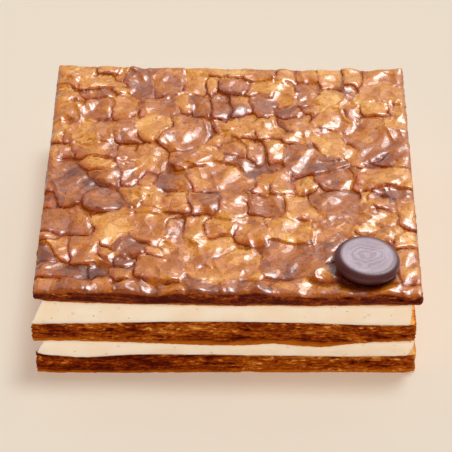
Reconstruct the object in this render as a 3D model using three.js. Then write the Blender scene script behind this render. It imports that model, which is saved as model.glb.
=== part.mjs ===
// A whole square mille feuille. Three sheets of flaky pastry hold two layers of pastry cream.
// The top sheet has lifted in flakes under a caramel glaze, and a thick chocolate disc lies near a corner.
// Units are millimetres, +Z is up and the front of the cake faces -Y.
// The origin is the middle of the cake's outline, on the surface that it stands on.

import * as THREE from 'three';
import { mergeVertices } from 'three/addons/utils/BufferGeometryUtils.js';

// ---------------------------------------------------------------- driving sizes

const SIDE = 160; // each sheet is cut square
const HALF = SIDE / 2;
const GAP = 0.3; // between layers that touch
const CORNER_WEAR = 0.35; // how far a cut corner is worn back

// The sheets were laid by hand, so each sits a little off the others and is turned a little. Behind the
// front left corner, the left sides of the lower two draw in by this much, under the edge of the top sheet.
const BOTTOM_SHEET = { x: -1.05, y: 0.2, turn: 0.75, drawnIn: 4.6 };
const MIDDLE_SHEET = { x: -1.3, y: -0.8, turn: 0.24, drawnIn: 3.8 };
const TOP_SHEET = { x: 1.0, y: -0.1, turn: -0.29, drawnIn: 0 };
const DRAW_LENGTH = 6; // most of it is reached within twice this length

const GLAZE_BASE = 43.3; // height of the lowest glaze, and the flakes rise from it
const PER_SIDE = 27; // points along one side of a layer's outline
const STATIONS = 4 * PER_SIDE;
const GLAZE_CELLS = 2 * PER_SIDE; // squares along one side of the flaky top

const DISC = { x: 58.3, y: -62.7, middle: 48.35, radius: 13.65, thickness: 5.8, lean: 4.6, nod: 1.0 };
const DISC_TOP_ROUND = { across: 2.5, down: 2.6 };
const DISC_FOOT_ROUND = { across: 2.6, up: 3.0 };
const DISC_SIDES = 28;
const DISC_ROUND_STEPS = 3;

// ---------------------------------------------------------------- repeatable unevenness

// A number from 0 to 1 that depends only on three whole numbers.
function scatter(i, j, k) {
  let bits = (Math.imul(i, 374761393) + Math.imul(j, 668265263) + Math.imul(k, 362437)) | 0;
  bits = Math.imul(bits ^ (bits >>> 13), 1274126177);
  bits ^= bits >>> 16;
  return (bits >>> 0) / 4294967296;
}

const ease = (t) => t * t * (3 - 2 * t);
const clamp = (value, low, high) => Math.min(high, Math.max(low, value));
const step = (low, high, value) => ease(clamp((value - low) / (high - low), 0, 1));

// Smooth noise from -0.5 to 0.5 over a square lattice of unit cells. Each layer is a pattern of its own.
function noise(x, y, layer) {
  const i = Math.floor(x);
  const j = Math.floor(y);
  const u = ease(x - i);
  const v = ease(y - j);
  const near = THREE.MathUtils.lerp(scatter(i, j, layer), scatter(i + 1, j, layer), u);
  const far = THREE.MathUtils.lerp(scatter(i, j + 1, layer), scatter(i + 1, j + 1, layer), u);
  return THREE.MathUtils.lerp(near, far, v) - 0.5;
}

// Waves of several sizes on top of each other. wave is the length of one swell and size its height.
function waves(list, x, y) {
  return list.reduce((sum, { size, wave, layer }) => sum + size * noise(x / wave, y / wave, layer), 0);
}

// ---------------------------------------------------------------- flakes of the glazed top

// Under the glaze the top leaf has lifted in flat flakes, packed like paving. Each item is one flake:
// its place on the sheet, its width and depth, and its turn in degrees, from the back to the front.
const FLAKE_ROWS = [
  [-71, 75, 20, 10, 0], [-56, 77, 12, 7, 0], [-49, 73, 7, 13, 0], [-42, 67, 15, 23, 3],
  [-28, 67, 13, 21, -4], [-15, 68, 11, 22, 0], [-5, 76, 10, 7, 0], [-8, 64, 7, 15, 0], [4, 75, 9, 8, 0],
  [2, 64, 13, 13, 0], [14, 74, 13, 9, 0], [14, 63, 13, 11, 0], [25, 74, 9, 11, 0], [35, 74, 9, 12, -12],
  [46, 71, 10, 15, 0], [56, 72, 9, 15, 0], [71, 66, 18, 28, -10], [-75, 68, 10, 9, 0],
  [-62, 66, 19, 11, 8], [-75, 57, 8, 15, 30], [-61, 57, 14, 7, 0], [-50, 59, 6, 5, 0],
  [26, 58, 8, 21, 0], [35, 62, 9, 9, 0], [35, 52, 9, 11, -10], [46, 56, 10, 14, 0], [55, 60, 8, 12, 0],
  [62, 55, 10, 10, 20], [-74, 47, 12, 15, 0], [-60, 47, 14, 16, 0], [-49, 47, 10, 17, 0],
  [-31, 48, 17, 16, 0], [-21, 48, 6, 17, 0], [-13, 49, 9, 17, 0], [-4, 48, 9, 17, 0],
  [5, 50, 9, 15, 10], [15, 49, 11, 20, -10], [27, 44, 10, 11, 0], [37, 46, 7, 10, -25],
  [46, 41, 17, 16, -14], [56, 44, 8, 13, 0], [66, 46, 12, 10, 18], [76, 46, 8, 9, 0],
  [-77, 30, 7, 20, 0], [-70, 30, 9, 15, 0], [-63, 29, 8, 17, 0], [-56, 30, 9, 14, 0],
  [-46, 28, 12, 17, 4], [-35, 31, 14, 20, -15], [-20, 26, 20, 27, -32], [-4, 34, 9, 8, 0],
  [-4, 25, 10, 10, 0], [6, 33, 13, 14, 0], [17, 33, 12, 14, 0], [29, 35, 14, 12, 0],
  [28, 25, 13, 7, 10], [44, 22, 16, 18, 0], [64, 37, 10, 8, 0], [74, 36, 12, 9, 0],
  [66, 22, 26, 20, -8], [55, 14, 9, 15, 25], [73, 14, 15, 12, 0], [-75, 16, 12, 9, -15],
  [-60, 15, 20, 10, 0], [-45, 14, 10, 11, 20], [-36, 9, 14, 20, -12], [-14, 11, 24, 15, 12],
  [1, 18, 11, 12, 0], [11, 16, 8, 15, 0], [20, 17, 8, 15, 0], [34, 10, 21, 21, 25], [4, 7, 16, 8, -28],
  [-57, 5, 11, 9, 0], [-69, -8, 20, 27, 20], [-54, -5, 15, 13, 0], [-44, -3, 8, 16, -8],
  [-35, -4, 6, 13, 0], [-25, -5, 14, 14, 0], [-3, -4, 28, 20, 5], [15, -9, 7, 14, -15],
  [23, -7, 12, 14, 0], [33, -7, 9, 14, 0], [45, -5, 13, 13, 0], [67, -3, 20, 14, -8],
  [-78, -13, 6, 19, 0], [-53, -19, 20, 14, -8], [-43, -15, 9, 13, 0], [-33, -15, 11, 14, 0],
  [-36, -24, 12, 5, 0], [-23, -20, 14, 16, 25], [-11, -20, 14, 14, 0], [2, -23, 11, 15, -22],
  [16, -22, 17, 14, 0], [31, -24, 11, 15, 0], [49, -22, 20, 26, 28], [57, -20, 6, 12, -25],
  [72, -13, 16, 6, -15], [66, -20, 11, 11, 0], [66, -29, 12, 9, 0], [76, -26, 8, 20, 0],
  [-69, -33, 22, 18, -8], [-50, -37, 16, 20, 12], [-34, -37, 15, 22, -6], [-23, -39, 9, 18, 0],
  [-14, -38, 9, 17, 0], [-4, -37, 11, 13, 0], [9, -38, 12, 18, 0], [24, -38, 18, 14, -12],
  [44, -39, 17, 13, -8], [57, -38, 8, 6, 0], [66, -43, 12, 10, 0], [75, -44, 9, 14, 0],
  [-76, -43, 10, 8, 0], [-77, -56, 8, 14, 0], [-70, -51, 9, 16, 20], [-60, -54, 15, 18, 8],
  [-41, -50, 13, 11, -12], [-51, -55, 9, 9, -30], [-29, -54, 14, 7, 0], [-17, -58, 10, 28, 32],
  [-7, -51, 16, 19, 0], [28, -58, 27, 22, 0], [76, -60, 9, 22, 0], [-69, -66, 22, 9, -6],
  [-54, -67, 9, 8, 0], [-44, -60, 10, 6, -15], [-43, -67, 11, 9, 0], [-29, -64, 18, 17, 0],
  [3, -62, 24, 20, 0], [39, -67, 10, 10, 30], [58, -62, 26, 22, 0], [-75, -76, 12, 9, 0],
  [-62, -75, 13, 10, -20], [-52, -75, 9, 12, 0], [-40, -76, 13, 8, 0], [-26, -76, 15, 8, 6],
  [-11, -76, 16, 8, 0], [5, -76, 13, 9, 0], [16, -75, 7, 8, 0], [27, -76, 18, 9, 0],
  [43, -77, 11, 7, 0], [56, -77, 13, 7, 0], [70, -77, 14, 9, 0],
];

// A flake is a four-sided shape with uneven sides and rounded corners. The turn of the whole shape and
// the skew of each side are shares of a quarter turn, and the distances are shares of half the width.
const OUTLINE = { sides: 4, rounding: 8, turn: 0.35, skew: 0.35, nearest: 0.88, spread: 0.26 };
const FLAKE_RISE = { least: 1.0, spread: 1.2 }; // how high flakes stand over the lowest glaze
const FLAKE_LEAN = { by: 0.5, spread: 2.6 }; // most lean so that they stand highest at the front

// What differs from flake to flake: its outline, how high it stands and which way it leans.
function flakeDraws(order) {
  const sector = 2 * Math.PI / OUTLINE.sides;
  const turn = OUTLINE.turn * (scatter(order, 7, 32) - 0.5);
  const sides = Array.from({ length: OUTLINE.sides }, (_, k) => ({
    angle: (k + OUTLINE.skew * (scatter(order, 7, 20 + k) - 0.5) + turn) * sector,
    distance: OUTLINE.nearest + OUTLINE.spread * scatter(order, 7, 26 + k),
  }));
  const lean = -Math.PI / 2 + (scatter(order, 8, 20) - 0.5) * FLAKE_LEAN.spread;
  const rise = FLAKE_RISE.least + FLAKE_RISE.spread * scatter(order, 8, 21);
  return { sides, lean, rise };
}

const FLAKES = FLAKE_ROWS.map(([x, y, width, depth, turn], order) => (
  { x, y, width, depth, turn, ...flakeDraws(order) }
));

// How many millimetres a point lies inside a flake, the flake's height there, and the place in the flake,
// where u and v run from -1 to 1 over its width and its depth.
function overFlake(flake, x, y) {
  const turn = THREE.MathUtils.degToRad(flake.turn);
  const [across, along] = [x - flake.x, y - flake.y];
  const u = (across * Math.cos(turn) + along * Math.sin(turn)) * 2 / flake.width;
  const v = (along * Math.cos(turn) - across * Math.sin(turn)) * 2 / flake.depth;
  const total = flake.sides.reduce((sum, { angle, distance }) => {
    const towards = Math.max(u * Math.cos(angle) + v * Math.sin(angle), 0) / distance;
    return sum + towards ** OUTLINE.rounding;
  }, 0);
  const reach = (1 - total ** (1 / OUTLINE.rounding)) * Math.sqrt(flake.width * flake.depth) / 2;
  const height = flake.rise + FLAKE_LEAN.by * (u * Math.cos(flake.lean) + v * Math.sin(flake.lean));
  return { reach, height, u, v };
}

// Where no flake reaches nearer, there is only glaze, and no second flake lies within this drop.
const OPEN_GLAZE = { reach: -1.6, height: 0.9, u: 0, v: 0 };
const NONE_NEAR = 4;
const CUT_OFF = 76; // further out, flakes run straight on to the cut sides
const STEP_WIDTH = 0.45; // over which one flake's height passes into the next one's
// A flake is rounded off towards the crease around it, most on its right and its front.
const TO_RIGHT = { u: 1, v: -0.2 };
const TO_FRONT = { u: -0.5, v: -0.86 };
const RIM = { width: 1.9, widerRight: 1.0, depth: 0.85, deeperRight: 0.35, deeperFront: 0.25 };
const RIM_WAVES = [{ size: 1.4, wave: 6, layer: 45 }];
// In places flakes have grown together: the crease has closed by this much and the step is wider.
const GROWN_TOGETHER = { by: 2.6, stepWidth: 3.45, wave: 11, layer: 44, from: 0.0, to: 0.26 };
const FRONT_CLOSED = { most: 0.8, from: 6.5, to: 2.0 }; // mm from the front edge, where creases close too
// The creases at the sides of flakes are softer than those at their fronts and backs, in most places.
const SIDE_CREASES = { clearFrom: 0.85, softFrom: 0.35, shallower: 0.65, asGrown: 0.6 };
const SOFT_PLACES = { wave: 8, layer: 50, from: 0.25, to: -0.05 };
const EDGE = { width: 2.6, depth: 1.1 }; // the glaze runs down over the edge of the sheet
const POOL_ROUNDING = 0.09; // caramel fills the lowest places up to a soft level surface
// The outlines are bent by these waves, and the surface is dented and swells by the others.
const BEND_ACROSS = [{ size: 2.6, wave: 9, layer: 21 }, { size: 1.0, wave: 4.1, layer: 22 }];
const BEND_ALONG = [{ size: 2.6, wave: 9, layer: 23 }, { size: 1.0, wave: 4.1, layer: 24 }];
const DENTS = { size: 1.4, across: 6.5, along: 14, layer: 38 };
const DENTS_WAY = { x: 0.57, y: 0.82 }; // they are long towards the back right
const DENT_SWEEP = { size: 4, wave: 9 };
const POOLS = { level: 0.3, waves: [{ size: 1.4, wave: 7, layer: 46 }] };
const SWELLS = [{ size: 0.45, wave: 26, layer: 31 }];

function dents(x, y) {
  const sweep = (layer) => waves([{ ...DENT_SWEEP, layer }], x, y);
  const across = DENTS_WAY.y * x - DENTS_WAY.x * y + sweep(40);
  const along = DENTS_WAY.x * x + DENTS_WAY.y * y + sweep(47);
  return DENTS.size * noise(across / DENTS.across, along / DENTS.along, DENTS.layer);
}

// How much a crease lies at the side of the flake, where it is softer.
function atSide(frontness, x, y) {
  const { clearFrom, softFrom } = SIDE_CREASES;
  const { wave, layer, from, to } = SOFT_PLACES;
  return step(clearFrom, softFrom, Math.abs(frontness)) * step(from, to, noise(x / wave, y / wave, layer));
}

function grownTogether(x, y) {
  const { wave, layer, from, to } = GROWN_TOGETHER;
  const atFront = FRONT_CLOSED.most * step(FRONT_CLOSED.from, FRONT_CLOSED.to, y + HALF);
  return Math.max(step(from, to, noise(x / wave, y / wave, layer)), atFront);
}

// A point belongs to the flake that it lies furthest inside. The level there passes into the next
// flake's at the crease between them, and fromCrease is how many millimetres away that crease is.
function paving(x, y) {
  const bentX = clamp(x + waves(BEND_ACROSS, x, y), -CUT_OFF, CUT_OFF);
  const bentY = clamp(y + waves(BEND_ALONG, x, y), -CUT_OFF, CUT_OFF);
  let owner = OPEN_GLAZE;
  let next = { reach: OPEN_GLAZE.reach - NONE_NEAR, height: OPEN_GLAZE.height };
  for (const flake of FLAKES) {
    const found = overFlake(flake, bentX, bentY);
    if (found.reach > owner.reach) [owner, next] = [found, owner];
    else if (found.reach > next.reach) next = found;
  }
  const inside = (owner.reach - next.reach) / 2;
  const away = Math.max(Math.hypot(owner.u, owner.v), 0.05);
  const towards = (way) => (way.u * owner.u + way.v * owner.v) / away;
  const [rightness, frontness] = [towards(TO_RIGHT), towards(TO_FRONT)];
  const soft = atSide(frontness, x, y);
  const grown = grownTogether(x, y);
  const widened = Math.max(grown, SIDE_CREASES.asGrown * soft);
  const width = THREE.MathUtils.lerp(STEP_WIDTH, GROWN_TOGETHER.stepWidth, widened);
  const share = 1 - 0.5 * Math.exp(-inside / width);
  const rimDepth = RIM.depth + RIM.deeperRight * rightness + RIM.deeperFront * frontness;
  return {
    level: THREE.MathUtils.lerp(next.height, owner.height, share),
    fromCrease: inside + GROWN_TOGETHER.by * grown,
    rimWidth: RIM.width + RIM.widerRight * rightness + waves(RIM_WAVES, x, y),
    rimDepth: rimDepth * (1 - SIDE_CREASES.shallower * soft),
  };
}

// Height of the glazed surface over its base.
function glazeRelief(x, y) {
  const { level, fromCrease, rimWidth, rimDepth } = paving(x, y);
  const rim = 1 - clamp(fromCrease / rimWidth, 0, 1);
  const pool = POOLS.level + waves(POOLS.waves, x, y);
  const overPool = level + dents(x, y) - rimDepth * rim * rim - pool;
  const pooled = pool + (overPool + Math.sqrt(overPool ** 2 + POOL_ROUNDING)) / 2;
  const edge = 1 - clamp((HALF - Math.max(Math.abs(x), Math.abs(y))) / EDGE.width, 0, 1);
  return pooled + waves(SWELLS, x, y) - EDGE.depth * edge * edge;
}

const CREASE_CATCH = 0.4; // a crease this near, as a share of the grid's squares, draws a point into it
const PROBE = 0.2; // over which the way to the crease is measured
const PLAIN_WAY = 0.5; // where the distance changes more slowly than this, the way isn't plain

// Moves a point of the glaze's grid into a crease that passes close by, so that creases stay crisp.
function intoCrease({ x, y }) {
  const here = paving(x, y).fromCrease;
  const awayX = (paving(x + PROBE, y).fromCrease - here) / PROBE;
  const awayY = (paving(x, y + PROBE).fromCrease - here) / PROBE;
  const size = Math.hypot(awayX, awayY);
  const distance = here / size;
  if (size < PLAIN_WAY || distance > CREASE_CATCH * SIDE / GLAZE_CELLS) return { x, y };
  return { x: x - distance * awayX / size, y: y - distance * awayY / size };
}

// ---------------------------------------------------------------- where the layers meet

// Along the front each meeting face follows a line of its own. Behind that it is level, with soft waves.
const FRONT_LINE = { from: -58, to: -76 };

const bump = (x, middle, width) => Math.exp(-(((x - middle) / width) ** 2));

const MEETING_WAVES = { size: 0.9, wave: 23 };

const meetings = {
  bottomSheetTop: {
    sheet: BOTTOM_SHEET,
    inset: { left: 0.7, right: 3.2, front: 0.6, back: 1.4, drawnIn: BOTTOM_SHEET.drawnIn },
    level: 9.8,
    front: (x) => 9.75 - 0.007 * x + 0.45 * bump(x, -30, 18) + 0.35 * bump(x, -5, 10)
      + 2.0 * bump(x, -82, 4.5) - 1.4 * bump(x, -58, 12) - 0.5 * bump(x, 50, 16) + 1.2 * bump(x, 82, 5),
    layer: 51,
  },
  middleSheetFoot: {
    sheet: MIDDLE_SHEET,
    inset: { left: 5.5, right: 0.6, front: 0.6, back: 1.5, drawnIn: MIDDLE_SHEET.drawnIn },
    level: 17.9,
    front: (x) => 17.7 + 1.2 * Math.cos((2 * Math.PI * (x + 66)) / 150)
      + 1.3 * bump(x, 19, 8) - 1.4 * bump(x, 41, 10) + 0.5 * bump(x, 76, 14),
    layer: 52,
  },
  middleSheetTop: {
    sheet: MIDDLE_SHEET,
    inset: { left: 0.3, right: 2.5, front: 0.6, back: 1.4, drawnIn: MIDDLE_SHEET.drawnIn },
    level: 28.7,
    front: (x) => 28.1 + 1.6 * Math.cos((Math.PI * x) / 175) ** 2 - 0.4 * bump(x, 58, 14),
    layer: 53,
  },
  topSheetFoot: {
    sheet: TOP_SHEET,
    inset: { left: 4.0, right: 4.6, front: 0.6, back: 1.6, drawnIn: MIDDLE_SHEET.drawnIn },
    level: 39.0,
    front: (x) => 38.2 + 0.00021 * x * x + 1.1 * bump(x, -82, 7),
    layer: 54,
  },
};

function meetingHeight(meeting, x, y) {
  const behind = meeting.level + waves([{ ...MEETING_WAVES, layer: meeting.layer }], x, y);
  return THREE.MathUtils.lerp(behind, meeting.front(x), step(FRONT_LINE.from, FRONT_LINE.to, y));
}

// ---------------------------------------------------------------- outlines

// A point of a sheet's square outline, counted anticlockwise from the front left corner.
// push moves it outwards, and inset moves each side inwards by its own amount. The left side draws in
// over a short length behind the front corner.
function outlinePoint(station, stations, push, inset) {
  const perSide = stations / 4;
  const side = Math.floor(station / perSide);
  const along = 2 * (station % perSide) / perSide - 1;
  const corner = station % perSide === 0;
  const x = [along, 1, -along, -1][side];
  const y = [-1, along, 1, -along][side];
  const worn = corner ? CORNER_WEAR * Math.SQRT1_2 : 0;
  const left = inset.left + inset.drawnIn * (1 - Math.exp(-HALF * (y + 1) / DRAW_LENGTH));
  const reachX = HALF - worn + (Math.abs(x) === 1 ? push : 0) - (x < 0 ? left : inset.right);
  const reachY = HALF - worn + (Math.abs(y) === 1 ? push : 0) - (y < 0 ? inset.front : inset.back);
  return { x: x * reachX, y: y * reachY };
}

function onSheet(sheet, point, z) {
  const turn = THREE.MathUtils.degToRad(sheet.turn);
  const x = sheet.x + point.x * Math.cos(turn) - point.y * Math.sin(turn);
  const y = sheet.y + point.x * Math.sin(turn) + point.y * Math.cos(turn);
  return new THREE.Vector3(x, y, z);
}

const even = (by, sheet) => ({ left: by, right: by, front: by, back: by, drawnIn: sheet.drawnIn });

function ring(sheet, stations, pushAt, inset, heightAt) {
  return Array.from({ length: stations }, (_, station) => {
    const point = outlinePoint(station, stations, pushAt(station), inset);
    return onSheet(sheet, point, heightAt(point.x, point.y, station));
  });
}

const flush = () => 0;

// A meeting face belongs to the layer below it (-1) or above it (+1), half the gap away.
const faceHeight = (meeting, facing) => (x, y) => meetingHeight(meeting, x, y) + facing * GAP / 2;

function meetingRing(meeting, facing) {
  return ring(meeting.sheet, STATIONS, flush, meeting.inset, faceHeight(meeting, facing));
}

function meetingHub(meeting, facing) {
  return new THREE.Vector3(meeting.sheet.x, meeting.sheet.y, meeting.level + facing * GAP / 2);
}

// ---------------------------------------------------------------- closed skins

// Collects triangles of points and turns them into a closed, indexed geometry.
class Skin {
  corners = [];

  triangle(a, b, c) {
    for (const point of [a, b, c]) this.corners.push(point.x, point.y, point.z);
  }

  // The wall between two rings of equal length, the lower one first.
  wall(lower, upper) {
    lower.forEach((a, i) => {
      const next = (i + 1) % lower.length;
      this.triangle(a, lower[next], upper[next]);
      this.triangle(a, upper[next], upper[i]);
    });
  }

  walls(rings) {
    for (let i = 1; i < rings.length; i++) this.wall(rings[i - 1], rings[i]);
  }

  // A face from a hub out to a ring, facing up or down.
  face(hub, edge, up) {
    edge.forEach((a, i) => {
      const b = edge[(i + 1) % edge.length];
      if (up) this.triangle(hub, a, b);
      else this.triangle(hub, b, a);
    });
  }

  // The strip between a coarse ring and one outside it with twice as many points, facing down.
  doublingStrip(coarse, fine) {
    coarse.forEach((a, i) => {
      const b = coarse[(i + 1) % coarse.length];
      const [p, q, r] = [0, 1, 2].map((k) => fine[(2 * i + k) % fine.length]);
      this.triangle(a, q, p);
      this.triangle(a, b, q);
      this.triangle(b, r, q);
    });
  }

  geometry() {
    const raw = new THREE.BufferGeometry();
    raw.setAttribute('position', new THREE.Float32BufferAttribute(this.corners, 3));
    const merged = mergeVertices(raw, 1e-4);
    merged.computeVertexNormals();
    return merged;
  }
}

// ---------------------------------------------------------------- pastry sheets

const LEDGE = 0.55; // how far the cut layers of a sheet stand in or out

// Cut pastry: each ledge is a band of leaves that stands in or out, unevenly along the side.
function ledgePush(layer, station) {
  const band = scatter(layer, 3, 61) - 0.5;
  const crag = noise(station / 2.3, layer * 1.7, 62) + noise(station / 6, layer * 0.9, 63);
  return LEDGE * (0.8 * band + crag);
}

// The rings up the side of a sheet, between its lower and upper edge rings.
function ledgeRings(sheet, stations, lower, upper, shares, layer) {
  return shares.map((share, i) => ring(
    sheet,
    stations,
    (station) => ledgePush(layer + i, station * STATIONS / stations),
    even(0, sheet),
    (x, y, station) => THREE.MathUtils.lerp(lower[station].z, upper[station].z, share),
  ));
}

function edgeRing(sheet, meeting, facing, layer, stations = STATIONS) {
  const push = (station) => 0.5 * ledgePush(layer, station * STATIONS / stations);
  return ring(sheet, stations, push, even(0, sheet), faceHeight(meeting, facing));
}

const FOOT_INSET = 3; // the lowest leaves stand back from the cut sides
const FOOT_NOTCH = 0.9; // leaves missing from the lower edge of the bottom sheet

function bottomPastry() {
  const sheet = BOTTOM_SHEET;
  const top = meetings.bottomSheetTop;
  const skin = new Skin();
  const foot = ring(sheet, STATIONS, flush, even(FOOT_INSET, sheet), flush);
  const notch = (x, y, station) => FOOT_NOTCH * step(0.1, 0.4, noise(station / 2.5, 5, 71));
  const lower = ring(sheet, STATIONS, (station) => 0.5 * ledgePush(80, station), even(0, sheet), notch);
  const upper = edgeRing(sheet, top, -1, 87);
  const ledges = ledgeRings(sheet, STATIONS, lower, upper, [0.28, 0.5, 0.76], 81);
  skin.face(new THREE.Vector3(sheet.x, sheet.y, 0), foot, false);
  skin.walls([foot, lower, ...ledges, upper, meetingRing(top, -1)]);
  skin.face(meetingHub(top, -1), meetingRing(top, -1), true);
  return skin.geometry();
}

function middlePastry() {
  const sheet = MIDDLE_SHEET;
  const foot = meetings.middleSheetFoot;
  const top = meetings.middleSheetTop;
  const skin = new Skin();
  const lower = edgeRing(sheet, foot, 1, 90);
  const upper = edgeRing(sheet, top, -1, 97);
  const ledges = ledgeRings(sheet, STATIONS, lower, upper, [0.2, 0.42, 0.62, 0.84], 91);
  skin.face(meetingHub(foot, 1), meetingRing(foot, 1), false);
  skin.walls([meetingRing(foot, 1), lower, ...ledges, upper, meetingRing(top, -1)]);
  skin.face(meetingHub(top, -1), meetingRing(top, -1), true);
  return skin.geometry();
}

// ---------------------------------------------------------------- chocolate disc

const leanAngle = THREE.MathUtils.degToRad(DISC.lean);
const nodAngle = THREE.MathUtils.degToRad(DISC.nod);

// Height of the disc's flat underside, carried on as a plane over the glaze.
function discFoot(x, y) {
  const foot = DISC.middle - DISC.thickness / 2;
  return foot - (x - DISC.x) * Math.tan(leanAngle) + (y - DISC.y) * Math.tan(nodAngle);
}

function discProfile() {
  const half = DISC.thickness / 2;
  const quarter = (index) => (index / DISC_ROUND_STEPS) * Math.PI / 2;
  const profile = [new THREE.Vector2(0, -half)];
  for (let i = 0; i <= DISC_ROUND_STEPS; i++) {
    const { across, up } = DISC_FOOT_ROUND;
    const r = DISC.radius - across * (1 - Math.sin(quarter(i)));
    profile.push(new THREE.Vector2(r, up * (1 - Math.cos(quarter(i))) - half));
  }
  for (let i = 0; i <= DISC_ROUND_STEPS; i++) {
    const { across, down } = DISC_TOP_ROUND;
    const r = DISC.radius - across * (1 - Math.cos(quarter(i)));
    profile.push(new THREE.Vector2(r, half - down * (1 - Math.sin(quarter(i)))));
  }
  profile.push(new THREE.Vector2(0, half));
  return profile;
}

function chocolateDisc() {
  const turned = new THREE.LatheGeometry(discProfile(), DISC_SIDES);
  turned.rotateX(Math.PI / 2); // the lathe's axis becomes the disc's upright one
  turned.deleteAttribute('normal');
  turned.deleteAttribute('uv');
  const merged = mergeVertices(turned, 1e-4);
  merged.computeVertexNormals();
  return merged;
}

// ---------------------------------------------------------------- glazed top sheet

const SEAT_MARGIN = { from: 3.5, to: 7.5 }; // the seat fades out between these distances from the disc

// The disc presses a seat into the glaze, so nothing of the glaze reaches into the disc.
function seatedHeight(point, z) {
  const away = Math.hypot(point.x - DISC.x, point.y - DISC.y) - DISC.radius;
  const seat = Math.min(z, discFoot(point.x, point.y) - GAP);
  return THREE.MathUtils.lerp(seat, z, step(SEAT_MARGIN.from, SEAT_MARGIN.to, away));
}

function topPastry() {
  const sheet = TOP_SHEET;
  const foot = meetings.topSheetFoot;
  const skin = new Skin();
  const cells = GLAZE_CELLS;
  const glaze = (column, row) => {
    const onEdge = [column, row].map((k) => k === 0 || k === cells);
    const reach = onEdge.every(Boolean) ? HALF - CORNER_WEAR * Math.SQRT1_2 : HALF;
    const regular = { x: reach * (2 * column / cells - 1), y: reach * (2 * row / cells - 1) };
    const local = onEdge.some(Boolean) ? regular : intoCrease(regular);
    const place = onSheet(sheet, local, 0);
    place.z = seatedHeight(place, GLAZE_BASE + glazeRelief(local.x, local.y));
    return place;
  };
  const points = Array.from({ length: cells + 1 }, (_, row) => (
    Array.from({ length: cells + 1 }, (__, column) => glaze(column, row))
  ));
  // Each square is split along its flatter diagonal, so that creases stay crisp.
  for (let row = 0; row < cells; row++) {
    for (let column = 0; column < cells; column++) {
      const [a, b] = [points[row][column], points[row][column + 1]];
      const [d, c] = [points[row + 1][column], points[row + 1][column + 1]];
      if (Math.abs(a.z - c.z) < Math.abs(b.z - d.z)) {
        skin.triangle(a, b, c);
        skin.triangle(a, c, d);
      } else {
        skin.triangle(a, b, d);
        skin.triangle(b, c, d);
      }
    }
  }
  const rim = Array.from({ length: 2 * STATIONS }, (_, station) => {
    const side = Math.floor(station / cells);
    const k = station % cells;
    const [row, column] = [[0, k], [k, cells], [cells, cells - k], [cells - k, 0]][side];
    return points[row][column];
  });
  const lower = edgeRing(sheet, foot, 1, 100, 2 * STATIONS);
  const ledges = ledgeRings(sheet, 2 * STATIONS, lower, rim, [0.35, 0.7], 101);
  skin.face(meetingHub(foot, 1), meetingRing(foot, 1), false);
  skin.doublingStrip(meetingRing(foot, 1), lower);
  skin.walls([lower, ...ledges, rim]);
  return skin.geometry();
}

// ---------------------------------------------------------------- cream layers

// Between its lower and upper edge the cream swells outwards, most where the bulge says.
function creamLayer(below, above, bulges) {
  const skin = new Skin();
  const lower = meetingRing(below, 1);
  const upper = meetingRing(above, -1);
  const centre = meetingHub(below, 1);
  const swollen = bulges.map(({ share, out }) => lower.map((start, station) => {
    const point = start.clone().lerp(upper[station], share);
    const side = Math.floor(station / PER_SIDE);
    const swell = out[side] + 0.5 * noise(station / 3.1, share * 4, 72);
    const outwards = point.clone().sub(centre).setZ(0);
    const size = Math.max(Math.abs(outwards.x), Math.abs(outwards.y));
    return point.addScaledVector(outwards, swell / size);
  }));
  skin.face(meetingHub(below, 1), lower, false);
  skin.walls([lower, ...swollen, upper]);
  skin.face(meetingHub(above, -1), upper, true);
  return skin.geometry();
}

// Each bulge is a share of the height and how far the cream stands out at the front, right, back and left.
const LOWER_CREAM_BULGES = [
  { share: 0.2, out: [0.2, 0.7, 0.6, 0.2] },
  { share: 0.55, out: [0.4, 1.3, 0.8, 0.3] },
  { share: 0.86, out: [0.3, 0.6, 0.5, 0.2] },
];
const UPPER_CREAM_BULGES = [
  { share: 0.16, out: [0.2, 0.3, 0.5, 0.1] },
  { share: 0.55, out: [0.4, 0.7, 0.9, 0.4] },
  { share: 0.88, out: [0.3, 0.4, 0.5, 0.4] },
];

// ---------------------------------------------------------------- the cake

const finishes = {
  pastry: { color: '#9a5c28', roughness: 0.8, metalness: 0 },
  cream: { color: '#efdfbd', roughness: 0.5, metalness: 0 },
  glaze: { color: '#b8702f', roughness: 0.3, metalness: 0 },
  chocolate: { color: '#6b5054', roughness: 0.45, metalness: 0 },
};

function layer(name, geometry, finish) {
  const mesh = new THREE.Mesh(geometry, new THREE.MeshStandardMaterial(finishes[finish]));
  mesh.name = name;
  return mesh;
}

const milleFeuille = new THREE.Group();
const lowerCream = creamLayer(meetings.bottomSheetTop, meetings.middleSheetFoot, LOWER_CREAM_BULGES);
const upperCream = creamLayer(meetings.middleSheetTop, meetings.topSheetFoot, UPPER_CREAM_BULGES);
milleFeuille.add(
  layer('bottom_pastry', bottomPastry(), 'pastry'),
  layer('lower_cream', lowerCream, 'cream'),
  layer('middle_pastry', middlePastry(), 'pastry'),
  layer('upper_cream', upperCream, 'cream'),
  layer('top_pastry', topPastry(), 'glaze'),
);

const disc = layer('chocolate_disc', chocolateDisc(), 'chocolate');
disc.position.set(DISC.x, DISC.y, DISC.middle);
disc.rotation.set(nodAngle, leanAngle, 0);
milleFeuille.add(disc);

export default milleFeuille;
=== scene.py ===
# %% [markdown]
# # A mille feuille in Blender
# The cake is a stack: three cut sheets of baked puff pastry, two layers of pastry cream between
# them, a caramel glaze burnt onto the top sheet, and a thick disc of chocolate near one corner.
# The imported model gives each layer's true place and size. Here every layer is made again as a
# fine mesh, because flaky pastry is all small relief: leaves, blisters, creases and crumbs.
# Sizes are in millimetres, as a baker would measure them, and become metres at the end.

# %% Load the frame that everything is built on
import math
from types import SimpleNamespace as Sizes

import bpy
import numpy as np
from mathutils import Matrix, Vector


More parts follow.
